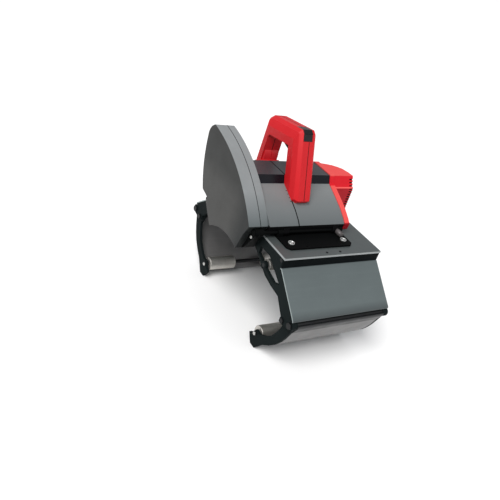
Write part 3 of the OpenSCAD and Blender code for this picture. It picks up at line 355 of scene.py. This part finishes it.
# Finishes: the record's material slots, and some more for single nodes and added pieces
DEEP_RED = (0.57, 0.010, 0.018)
# lighter red of the painted highlights
PAINTED_HIGHLIGHT_RED = (0.68, 0.075, 0.070)
FINISHES = {
    "deck_paint": (coated, dict(
        colour=(0.085, 0.098, 0.098), rough=0.36, metal=0.35, grain=1200, depth=0.12, cloud=0.06,
        streak=0.3, stretch=(3, 90, 90),
        # painted highlights: bright strips along the left and the front edge
        bands=((X, -147.4, -148.0, (0.28, 0.30, 0.30)),
               (Y, -159.4, -160.0, (0.30, 0.32, 0.32))))),
    "cover_paint": (coated, dict(
        colour=(0.098, 0.120, 0.122), rough=0.40, metal=0.25, grain=1300, depth=0.10, cloud=0.05,
        streak=0.2, stretch=(3, 40, 40),
        # painted shade: darker towards the rounded bottom edge
        bands=((Z, 88.0, 75.0, (0.056, 0.068, 0.070)),
               # painted highlight: a bright strip along the left edge
               (X, -147.3, -148.0, (0.26, 0.30, 0.30))))),
    "black_steel": (coated, dict(
        colour=(0.0032, 0.0035, 0.0036), rough=0.46, grain=1300, depth=0.12, cloud=0.10,
        streak=0.12, spec=0.02)),
    "band_paint": (coated, dict(
        colour=(0.004, 0.0055, 0.006), rough=0.46, grain=1300, depth=0.12, cloud=0.10,
        streak=0.12, spec=0.02)),
    "plate_paint": (coated, dict(
        colour=(0.008, 0.0112, 0.0115), rough=0.50, grain=1300, depth=0.12, cloud=0.10,
        streak=0.3, spec=0.02)),
    "bright_steel": (bare_metal, dict(colour=(0.62, 0.62, 0.60), rough=0.30)),
    "rim_steel": (coated, dict(
        colour=(0.50, 0.51, 0.50), rough=0.34, metal=0.6, grain=700, cloud=0.10, streak=0.3)),
    "screw_steel": (coated, dict(
        colour=(0.055, 0.057, 0.056), rough=0.40, metal=0.3, grain=700, cloud=0.15, streak=0.5,
        spec=0.4)),
    "pin_steel": (bare_metal, dict(colour=(0.030, 0.031, 0.032), rough=0.38)),
    "roller_metal": (bare_metal, dict(
        colour=(0.62, 0.60, 0.56), rough=0.42, stretch=(500, 4, 4), marks=0.5)),
    "shell_metal": (coated, dict(
        colour=(0.150, 0.148, 0.147), rough=0.40, metal=0.2, grain=1400, depth=0.10, cloud=0.05,
        streak=0.3, stretch=(3, 50, 50), spec=0.4,
        # painted shadow of the hinge rod: a dark strip along the shell's top edge
        bands=((Z, 35.5, 36.3, (0.012, 0.013, 0.014)),))),
    "guard_paint": (coated, dict(
        colour=(0.215, 0.228, 0.232), rough=0.40, grain=1500, depth=0.12, cloud=0.06,
        streak=0.15, stretch=(30, 8, 40), spec=0.2,
        # painted shade: darker towards the bottom
        bands=((Z, 262, 205, (0.092, 0.108, 0.112)),
               (Z, 206.4, 205.0, (0.010, 0.012, 0.012)),
               # painted shade: the left face darker than the rim, with a painted highlight towards
               # its bottom and more painted shade towards its front
               (X, -201.9, -202.7, (0.024, 0.025, 0.024),
                (Z, 270, 225, (0.046, 0.046, 0.044)),
                (Y, 10, -45, (0.013, 0.015, 0.015)))))),
    "housing_plastic": (moulded, dict(
        colour=(0.165, 0.178, 0.180), spec=0.4,
        # painted shade: darker towards the bottom
        bands=((Z, 255, 208, (0.098, 0.110, 0.114)),
               (Z, 283.2, 283.8, (0.040, 0.041, 0.046))))),
    "black_plastic": (moulded, dict(colour=(0.0032, 0.0032, 0.0036), rough=0.44, spec=0.03)),
    "gloss_black": (moulded, dict(colour=(0.005, 0.006, 0.009), rough=0.32, spec=0.15)),
    "handle_red": (moulded, dict(
        colour=(0.52, 0.011, 0.016), rough=0.42, coat=0.02, cloud=0.04, spec=0.18,
        shape=handle_facets)),
    "red_plastic": (moulded, dict(colour=(0.54, 0.010, 0.016), coat=0.05, cloud=0.04, spec=0.25)),
    "cap_red": (moulded, dict(
        colour=DEEP_RED, rough=0.40, cloud=0.04, spec=0.12,
        # painted light: a lighter strip on the front part of the side
        bands=((Z, 271.2, 270.4, (0.75, 0.11, 0.10),
                (Z, 254.0, 253.4, DEEP_RED),
                (Y, 19.0, 19.6, DEEP_RED)),
               # painted shade: the front part darker
               (Y, 17.6, 16.8, (0.40, 0.004, 0.012)),
               # painted highlight: the top lighter
               (Z, 282.5, 284.2, PAINTED_HIGHLIGHT_RED)))),
    "bezel_red": (moulded, dict(
        colour=DEEP_RED, rough=0.40, cloud=0.04, spec=0.12,
        # painted highlight on the front of the rim, with painted shade towards its bottom
        bands=((Y, 17.6, 16.8, PAINTED_HIGHLIGHT_RED, (Z, 211.5, 210.0, (0.25, 0.004, 0.010))),
               # painted highlight: the top lighter
               (Z, 282.5, 284.2, PAINTED_HIGHLIGHT_RED)))),
    "grey_plastic": (moulded, dict(colour=(0.008, 0.008, 0.009), rough=0.40, spec=0.25)),
    "trim_grey": (moulded, dict(colour=(0.075, 0.066, 0.066), rough=0.45)),
    "bar_grey": (coated, dict(
        colour=(0.085, 0.078, 0.078), metal=0.2, depth=0.15, cloud=0.10, streak=0.3, spec=0.4)),
    "seam_dark": (moulded, dict(colour=(0.004, 0.005, 0.005), rough=0.6, spec=0.1)),
    "gland_rubber": (moulded, dict(colour=(0.012, 0.012, 0.012), rough=0.6, spec=0.3)),
    "cast_alloy": (coated, dict(
        colour=(0.40, 0.41, 0.42), rough=0.5, metal=0.9, grain=300, depth=0.5, cloud=0.1,
        streak=0)),
    "lamination": (bare_metal, dict(
        colour=(0.20, 0.17, 0.14), rough=0.45, stretch=(900, 4, 4))),
    "copper": (bare_metal, dict(colour=(0.72, 0.38, 0.22), rough=0.3)),
    "blade_steel": (bare_metal, dict(
        colour=(0.58, 0.59, 0.60), rough=0.25, stretch=(60, 60, 60))),
}
MAT = {name: make(name, **options) for name, (make, options) in FINISHES.items()}

# CAD nodes whose finish isn't the one of their slot, and the slot of every node
OWN_FINISH = {
    "handle_red": ("handle_left_half", "handle_right_half"),
    "plate_paint": ("end_plate_left", "end_plate_right", "front_jaw_left_plate",
                    "front_jaw_right_plate", "rear_jaw_left_plate", "rear_jaw_right_plate"),
    "pin_steel": ("front_jaw_axle", "rear_jaw_axle", "frame_screws", "upper_axles"),
    "screw_steel": ("base_screws",),
    "cap_red": ("rear_cap",),
    "bezel_red": ("bezel",),
    "band_paint": ("front_band", "rear_band"),
}
FINISH = {s["node"]: s["material_slot"] for s in frame["record"]["subparts"]}
FINISH.update((node, finish) for finish, group in OWN_FINISH.items() for node in group)

# Width in mm of the rounded edges of CAD nodes, and the width of all the others
ROUND = {
    0.3: ("stripe_insert",),
    0.6: ("gearbox_housing", "motor_housing", "front_cover", "rear_cover", "front_jaw_shell",
          "rear_jaw_shell"),
    0.7: ("deck_plate",),
    0.8: ("end_plate_left", "end_plate_right", "front_jaw_left_plate", "front_jaw_right_plate",
          "rear_jaw_left_plate", "rear_jaw_right_plate", "lock_button", "guard_bracket"),
    0.9: ("guard_inner_shell", "base_plate"),
    1.0: ("upper_front_rollers", "upper_rear_rollers", "gear_case"),
    1.2: ("guard_outer_shell", "rear_cap", "bottom_tray", "cover_latch", "front_jaw_rollers",
          "rear_jaw_rollers"),
    1.4: ("trigger",),
    1.5: ("clamp_knob",),
    1.8: ("handle_left_half", "handle_right_half"),
    2.0: ("bezel",),
}
ROUND_PLAIN = 0.4
NODE_ROUND = {node: width for width, group in ROUND.items() for node in group}


def bevelled(o, width):
    b = o.modifiers.new("edge", "BEVEL")
    b.width = width * MM
    b.segments = 2
    b.limit_method = "ANGLE"
    b.angle_limit = math.radians(28)
    b.use_clamp_overlap = True
    b.harden_normals = True


# The node's mesh stays: modifiers close its seams, join its flat faces and round its edges
def soften(o, width):
    for p in o.data.polygons:
        p.use_smooth = True
        p.material_index = 0
    if "custom_normal" in o.data.attributes:
        o.data.attributes.remove(o.data.attributes["custom_normal"])
    weld = o.modifiers.new("weld", "WELD")
    weld.merge_threshold = 1e-6
    flat = o.modifiers.new("flat", "DECIMATE")
    flat.decimate_type = "DISSOLVE"
    flat.angle_limit = math.radians(0.4)
    bevelled(o, width)


for name, o in nodes.items():
    o.data.materials.clear()
    o.data.materials.append(MAT[FINISH[name]])
    soften(o, NODE_ROUND.get(name, ROUND_PLAIN))


# Small pieces on the CAD surfaces: vertices in mm, outlines are [front, up] points, front is -Y
def solid(name, verts, faces, mat, body, edge):
    mesh = bpy.data.meshes.new(name)
    mesh.from_pydata([Vector(v) * MM for v in verts], [], faces)
    mesh.validate()
    for p in mesh.polygons:
        p.use_smooth = True
    mesh.materials.append(MAT[mat])
    o = bpy.data.objects.new(name, mesh)
    scene.collection.objects.link(o)
    if edge:
        bevelled(o, edge)
    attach(o, body)


# Sides between loops of n vertices that follow each other, and the two end faces
def skin(n, loops):
    sides = [[k * n + i, k * n + (i + 1) % n, (k + 1) * n + (i + 1) % n, (k + 1) * n + i]
             for k in range(loops - 1) for i in range(n)]
    return sides + [list(range(n))[::-1], list(range((loops - 1) * n, loops * n))]


# Solid between an outline at x and its copy at x + length, with faces that look inward
def prism(name, pts, x, length, mat, body, edge):
    verts = [(x + far, -f, u) for far in (0, length) for f, u in pts]
    faces = skin(len(pts), 2)
    turn = sum(p[0] * q[1] - q[0] * p[1] for p, q in zip(pts, pts[1:] + pts[:1]))
    if turn < 0:
        faces = [f[::-1] for f in faces]
    solid(name, verts, faces, mat, body, edge)


def unit(v):
    k = math.hypot(*v)
    return (v[0] / k, v[1] / k)


def way_of(p, q):
    return unit((q[0] - p[0], q[1] - p[1]))


# Outline moved sideways by d, to the left of its way
def offset(pts, d):
    ways = [way_of(p, q) for p, q in zip(pts, pts[1:])]
    out = []
    for p, a, b in zip(pts, ways[:1] + ways, ways + ways[-1:]):
        k = 1 + a[0] * b[0] + a[1] * b[1]
        out.append((p[0] - d * (a[1] + b[1]) / k, p[1] + d * (a[0] + b[0]) / k))
    return out


# Ribbon on a surface line: proud by rise on the right of its way, sunk a little on its left
RIBBON_SINK = 0.4


def ribbon(name, pts, x, width, rise, mat, body, edge=0.0):
    line = offset(pts, -rise) + offset(pts, RIBBON_SINK)[::-1]
    prism(name, line, x, width, mat, body, edge)


# Dark joint on the power head, with its middle at x
def seam(name, pts, x, width, rise):
    ribbon(name, pts, x - width / 2, width, rise, "seam_dark", "power_head")


# Rings of vertices about way, from (distance along way, radius, hexagon or not)
RING_STEPS = 24


def rings(at, way, profile):
    w = Vector(way).normalized()
    u = w.orthogonal().normalized()
    v = w.cross(u)
    verts = []
    for along, radius, hexagon in profile:
        for i in range(RING_STEPS):
            a = 2 * math.pi * i / RING_STEPS
            r = radius
            if hexagon:
                r *= math.cos(math.pi / 6) / math.cos(a % (math.pi / 3) - math.pi / 6)
            verts.append(Vector(at) + w * along + (u * math.cos(a) + v * math.sin(a)) * r)
    return verts


# Round piece from its profile of (distance along way, radius)
def spun(name, at, way, profile, mat, body):
    verts = rings(at, way, [(along, radius, False) for along, radius in profile])
    solid(name, verts, skin(RING_STEPS, len(profile)), mat, body, edge=0)


# Screw head: how far it is sunk, and its chamfer, socket floor and socket taper as shares
BOLT_SINK = 0.3
BOLT_CHAMFER = 0.18
BOLT_FLOOR = 0.4
BOLT_TAPER = 0.94
BOLT_EDGE = 0.15


# Round screw head with a chamfer and a hexagon socket, on a point and pointing along way
def cap_head(name, at, way, r, height, socket_r, mat, body):
    lip = BOLT_CHAMFER * r
    profile = [(-BOLT_SINK, r, False), (height - lip, r, False), (height, r - lip, False),
               (height, socket_r, True), (height * BOLT_FLOOR, socket_r * BOLT_TAPER, True)]
    faces = skin(RING_STEPS, len(profile))
    # The sides look inward and the end faces outward, and the rounding at both ends depends on it
    faces[:-2] = [f[::-1] for f in faces[:-2]]
    solid(name, rings(at, way, profile), faces, mat, body, BOLT_EDGE)


# Housing: seam between gearbox and motor part, over its slope and its roof
HOUSING_SEAM_W = 3.0
seam("housing_seam_front", SLOPE, GEARBOX_END, HOUSING_SEAM_W, rise=0.15)
seam("housing_seam_roof", ROOF, GEARBOX_END, HOUSING_SEAM_W, rise=0.15)


# Vent slots beside the handle's foot, left of the housing seam: thin dark ribbons as painted shade
# of their openings
def surface_up(f):
    for p, q in zip(SLOPE, SLOPE[1:]):
        if p[0] >= f >= q[0]:
            return p[1] + (q[1] - p[1]) * (p[0] - f) / (p[0] - q[0])
    return SLOPE[-1][1]


FOOT_SLOT_COUNT = 4
FOOT_SLOT_W = 3.2
FOOT_SLOT_H = 1.5
FOOT_SLOT_FRONT = 24.0
FOOT_SLOT_PITCH = 9.5
FOOT_SLOT_X = GEARBOX_END - 5.2
for i in range(FOOT_SLOT_COUNT):
    f = FOOT_SLOT_FRONT - FOOT_SLOT_PITCH * i
    slot_line = [(g, surface_up(g)) for g in (f, f - FOOT_SLOT_H)]
    ribbon("foot_slot_%d" % i, slot_line, FOOT_SLOT_X, FOOT_SLOT_W, rise=0.12, mat="seam_dark",
           body="power_head")

# Ledge under the black stripe, on both sides of the handle: two points from the slope's end
LEDGE = ((2.2, -1.6), (0.2, -0.2))
ribbon("stripe_ledge", [(SLOPE[-1][0] + f, SLOPE[-1][1] + u) for f, u in LEDGE], STRIPE_LEFT,
       STRIPE_W, rise=0.7, mat="housing_plastic", body="power_head", edge=0.25)

# Handle: points at s mm down its front leg, and at a share k of its top
LEG_WAY = way_of(GRIP[1], GRIP[0])


def on_leg(s):
    return (GRIP[1][0] + s * LEG_WAY[0], GRIP[1][1] + s * LEG_WAY[1])


def on_bar_top(k):
    return (GRIP[2][0] + k * (GRIP[3][0] - GRIP[2][0]), GRIP[2][1] + k * (GRIP[3][1] - GRIP[2][1]))


# Handle: seam between its halves, black corner trim over the lock button, ribbed grey insert
TRIM_X = HANDLE_X + 8.6
TRIM_W = 27.0
HANDLE_SEAM_W = 1.5
RIB_COUNT = 5
RIB_START = 0.04
RIB_PITCH = 0.035
RIB_W = 0.014
RIB_SIDE = 2.0
seam("handle_seam_leg", [GRIP[0], on_leg(19)], HANDLE_SEAM, HANDLE_SEAM_W, rise=0.12)
seam("handle_seam_back", [on_bar_top(0.16)] + GRIP[3:], HANDLE_SEAM, HANDLE_SEAM_W, rise=0.12)
seam("handle_seam_hole", GRIP_HOLE, HANDLE_SEAM, HANDLE_SEAM_W, rise=0.12)
ribbon("button_corner", [on_leg(0.8), GRIP[1], GRIP[2], on_bar_top(0.015)], TRIM_X, TRIM_W,
       rise=0.5, mat="grey_plastic", body="power_head", edge=0.3)
ribbon("grip_insert", [on_bar_top(0.02), on_bar_top(0.215)], TRIM_X, TRIM_W, rise=0.35,
       mat="trim_grey", body="power_head", edge=0.3)
for i in range(RIB_COUNT):
    k = RIB_START + RIB_PITCH * i
    ribbon("grip_rib_%d" % i, [on_bar_top(k), on_bar_top(k + RIB_W)], TRIM_X + RIB_SIDE,
           TRIM_W - 2 * RIB_SIDE, rise=0.9, mat="trim_grey", body="power_head", edge=0.25)

# Foot of the handle's rear leg: a thickened block on each half, and a lip where it meets the roof
FOOT = [(-142.6, 262), (-142.6, 296), (-137.2, 286), (-136.4, 266)]
FOOT_IN = 3.5
FOOT_CUT = 0.45
LIP = [(-134, 269.2), (-160, 255.3)]
LIP_OUT = 2.5
for name, x0, x1 in (("leg_foot_left", HANDLE_X + FOOT_IN, HANDLE_SEAM - FOOT_CUT),
                     ("leg_foot_right", HANDLE_SEAM + FOOT_CUT, HANDLE_X + HANDLE_W - FOOT_IN)):
    prism(name, FOOT, x0, x1 - x0, "red_plastic", "power_head", edge=0.8)
ribbon("leg_lip", LIP, HANDLE_X - LIP_OUT, HANDLE_W + 2 * LIP_OUT, rise=2.6, mat="red_plastic",
       body="power_head", edge=0.8)

# Guard: its outline, and the dark joint between its two shells all along the rim
GUARD_FRONT = 71
GUARD_DEPTH = 266
GUARD_LOW = 190
GUARD_H = 150
GUARD_SEAM = -170.06
GUARD_SEAM_W = 1.3


def guard_point(a, b):
    return (GUARD_FRONT - a * GUARD_DEPTH, GUARD_LOW + b * GUARD_H)


# Arc from p to q in n steps, bulging by height to the right of its way
def bow(p, q, height, n):
    c = math.dist(p, q)
    r = c * c / (8 * height) + height / 2
    w = way_of(p, q)
    out = (w[1], -w[0])
    o = [(p[i] + q[i]) / 2 - out[i] * (r - height) for i in (0, 1)]
    a = math.asin(c / (2 * r))
    turns = [a * (2 * i / n - 1) for i in range(n + 1)]
    return [tuple(o[i] + r * (out[i] * math.cos(t) + w[i] * math.sin(t)) for i in (0, 1))
            for t in turns]


guard_nose = guard_point(0, 0.1)
guard_top = guard_point(0.926, 1)
guard_back = guard_point(1, 0.743)
GUARD_RIM = ([guard_point(0.046, -0.067)] + bow(guard_nose, guard_top, height=26, n=24)
             + bow(guard_top, guard_back, height=8, n=6)[1:]
             + bow(guard_back, guard_point(0.856, -0.105), height=8, n=10)[1:])
seam("guard_joint", GUARD_RIM, GUARD_SEAM, GUARD_SEAM_W, rise=0.1)

# Rear cap: its side outline, and its end in plan as [x, y] at its foot and at its top
CAP_X = 92
CAP_W = 67
CAP_FOOT = 190
CAP_H = 94
CAP_RISE = (246.4, 284.0)


def cap_corner(s):
    return (CAP_X + s[0] * CAP_W, s[1] * HEAD_DEPTH - HEAD_FRONT)


CAP_SIDE = [head_point(*s) for s in (
    (0.3696, -0.18), (0.3696, 0.6105), (0.4, 0.743), (0.435, 1), (0.719, 1), (1, 0.5), (1, 0.316),
    (0.921, 0.329), (0.921, -0.1), (0.897, -0.18))]
CAP_LOW = [(159, -78)] + [cap_corner(s) for s in (
    (1, 0.54), (0.97, 0.64), (0.85, 0.74), (0.6, 0.83), (0.3, 0.88), (0, 0.9))]
CAP_TOP = [(157, -78)] + [cap_corner(s) for s in (
    (0.97, 0.423), (0.948, 0.502), (0.873, 0.573), (0.724, 0.617), (0.545, 0.649), (0.313, 0.673),
    (0, 0.695))]


# Where the cap's side outline is cut at a height: its front and its rear
def cap_fronts(up):
    hits = []
    for p, q in zip(CAP_SIDE, CAP_SIDE[1:] + CAP_SIDE[:1]):
        if (p[1] - up) * (q[1] - up) < 0:
            hits.append(p[0] + (q[0] - p[0]) * (up - p[1]) / (q[1] - p[1]))
    return max(hits), min(hits)


# X of the cap's end at a depth y, in one of its plans
def plan_reach(plan, y):
    for (xa, ya), (xb, yb) in zip(plan, plan[1:]):
        if ya <= y <= yb:
            return xa + (xb - xa) * (y - ya) / (yb - ya)
    return plan[-1][0]


# X of the cap's end at a depth and a height: the end leans from one plan to the other
def cap_reach(y, up):
    k = min(max((up - CAP_RISE[0]) / (CAP_RISE[1] - CAP_RISE[0]), 0), 1)
    return (1 - k) * plan_reach(CAP_LOW, y) + k * plan_reach(CAP_TOP, y)


# Rear cap: dark slab deep in each vent slot, painted shade that makes the comb read as openings
VENT_COUNT = 11
VENT_FIRST = 0.105
VENT_PITCH = 0.0777
VENT_H = 3.8
VENT_DEPTH = 12.0
VENT_START = 112.0
VENT_LEAST = 1.0
VENT_IN = 0.9
VENT_BACK = 0.3
VENT_SIDE = 0.3
VENT_LAP = 0.2
VENT_STEPS = 40
for i in range(VENT_COUNT):
    up = CAP_FOOT + CAP_H * (VENT_FIRST + VENT_PITCH * i)
    ends = [cap_fronts(up), cap_fronts(up + VENT_H)]
    y0 = -min(e[0] for e in ends) + VENT_SIDE
    y1 = -max(e[1] for e in ends) - VENT_SIDE
    ys = [y0 + (y1 - y0) * k / VENT_STEPS for k in range(VENT_STEPS + 1)]
    reach = [(min(cap_reach(y, up), cap_reach(y, up + VENT_H)), y) for y in ys]
    reach = [(x, y) for x, y in reach if x - VENT_IN > VENT_START + VENT_LEAST]
    plan = [(x - VENT_IN, y) for x, y in reach]
    plan += [(max(x - VENT_DEPTH, VENT_START) - VENT_BACK, y) for x, y in reach[::-1]]
    verts = [(x, y, z) for z in (up - VENT_LAP, up + VENT_H + VENT_LAP) for x, y in plan]
    solid("vent_painted_shade_%02d" % i, verts, skin(len(plan), 2), "seam_dark", "power_head", edge=0)

# Bright socket screws: on the ends of the jaw axles and on the guard's bracket
JAW_AXLE = (143.75, -56.62)
JAW_AXLE_END = 141.7
for body, side in (("front_jaw", -1), ("rear_jaw", 1)):
    for end, x in (("left", -JAW_AXLE_END), ("right", JAW_AXLE_END)):
        cap_head("jaw_bolt_%s_%s" % (body, end), at=(x, side * JAW_AXLE[0], JAW_AXLE[1]),
                 way=(x, 0, 0), r=4.6, height=2.6, socket_r=2.6, mat="bright_steel", body=body)
cap_head("bracket_bolt", at=(-185.7, -69.0, 177.5), way=(-1, 0, 0), r=3.6, height=2.6,
         socket_r=2.0, mat="bright_steel", body="power_head")

# Grey round stop bar with a groove, on the base plate in front of the right hinge ear
BASE_TOP = 183.9
BAR_R = 6.8
BAR_SINK = 0.15
BAR_PROFILE = [(0, BAR_R - 1.4), (0.9, BAR_R - 0.3), (1.8, BAR_R), (17, BAR_R), (17.4, BAR_R - 0.7),
               (18.4, BAR_R - 0.7), (18.8, BAR_R), (20.6, BAR_R), (21.6, BAR_R - 1)]
spun("hinge_stop", (57.5, -79.3, BASE_TOP + BAR_R - BAR_SINK), (0, -1, 0), BAR_PROFILE,
     "bar_grey", "carriage")

# Base screws: a bright rim on each, and a dark bottom in its socket
SCREW_RIM = [(0, 8.1), (1.4, 8.1), (1.9, 7.5), (1.75, 6.4), (0.2, 6.2)]
SCREW_TOP = 184.9
SOCKET_LOW = 183.6
for i, (x, f) in enumerate(((-102, 111), (57, 111), (-102, 39), (57, 39))):
    spun("screw_rim_%d" % i, (x, -f, SCREW_TOP), (0, 0, 1), SCREW_RIM, "rim_steel", "carriage")
    cap_head("socket_floor_%d" % i, at=(x, -f, SOCKET_LOW), way=(0, 0, 1), r=4.0, height=0.5,
             socket_r=2.2, mat="seam_dark", body="carriage")
